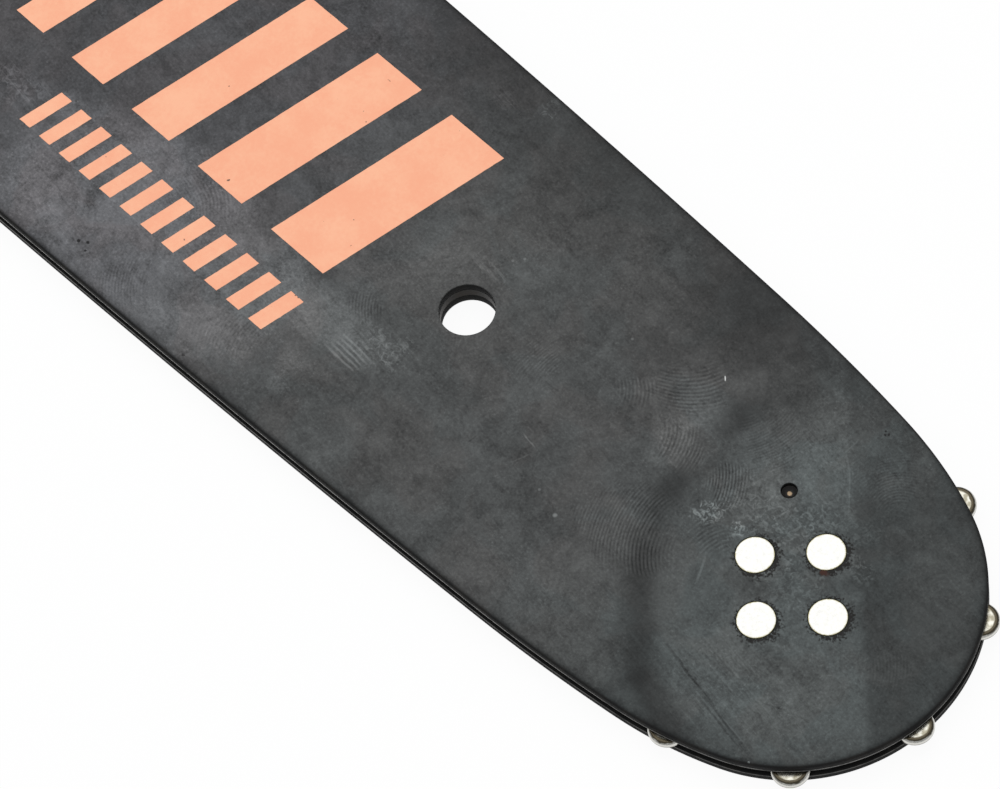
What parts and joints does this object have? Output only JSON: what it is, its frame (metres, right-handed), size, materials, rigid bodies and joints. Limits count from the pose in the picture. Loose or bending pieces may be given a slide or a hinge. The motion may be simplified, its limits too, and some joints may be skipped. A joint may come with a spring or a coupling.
{
  "type": "chainsaw guide bar",
  "caption": "Laminated steel chainsaw guide bar with a chain groove round its edge, a slotted tail mount, a hanging hole and a riveted roller-bearing sprocket nose.",
  "frame": {"origin": "middle of the stud slot, on the lower face of the bar", "axes": "+X along the bar towards the sprocket nose, +Y across the bar, +Z out of the upper face"},
  "size_m": [0.3965, 0.0582, 0.0041],
  "materials": {
    "side_plate_black": "worn black coating, satin, with smudges and light scratches",
    "core_steel": "dark oiled steel",
    "bearing_steel": "bright ground bearing steel",
    "sprocket_steel": "bright hardened steel, faintly warm",
    "rivet_steel": "bright flush-ground rivet heads",
    "face_print": "matt peach screen print, lightly worn"
  },
  "bodies": {
    "bar": {"upper_side_plate": "side_plate_black", "lower_side_plate": "side_plate_black", "core_plate": "core_steel", "bearing_race": "bearing_steel", "nose_rivet_1": "rivet_steel", "nose_rivet_2": "rivet_steel", "nose_rivet_3": "rivet_steel", "nose_rivet_4": "rivet_steel"},
    "sprocket": {"nose_sprocket": "sprocket_steel"},
    "roller_ring": {"roller_01": "bearing_steel", "roller_02": "bearing_steel", "roller_03": "bearing_steel", "roller_04": "bearing_steel", "roller_05": "bearing_steel", "roller_06": "bearing_steel", "roller_07": "bearing_steel", "roller_08": "bearing_steel", "roller_09": "bearing_steel", "roller_10": "bearing_steel", "roller_11": "bearing_steel", "roller_12": "bearing_steel", "roller_13": "bearing_steel", "roller_14": "bearing_steel", "roller_15": "bearing_steel", "roller_16": "bearing_steel", "roller_17": "bearing_steel", "roller_18": "bearing_steel"}
  },
  "joints": [
    {"name": "sprocket_spin", "type": "hinge", "parent": "bar", "child": "sprocket", "pos_m": [0.3335, 0, 0.00204], "axis": [0, 0, 1], "continuous": true},
    {"name": "roller_ring_orbit", "type": "hinge", "parent": "bar", "child": "roller_ring", "pos_m": [0.3335, 0, 0.00204], "axis": [0, 0, 1], "continuous": true}
  ],
  "couplings": [
    {"joint": "roller_ring_orbit", "follows": "sprocket_spin", "ratio": 0.5849}
  ]
}
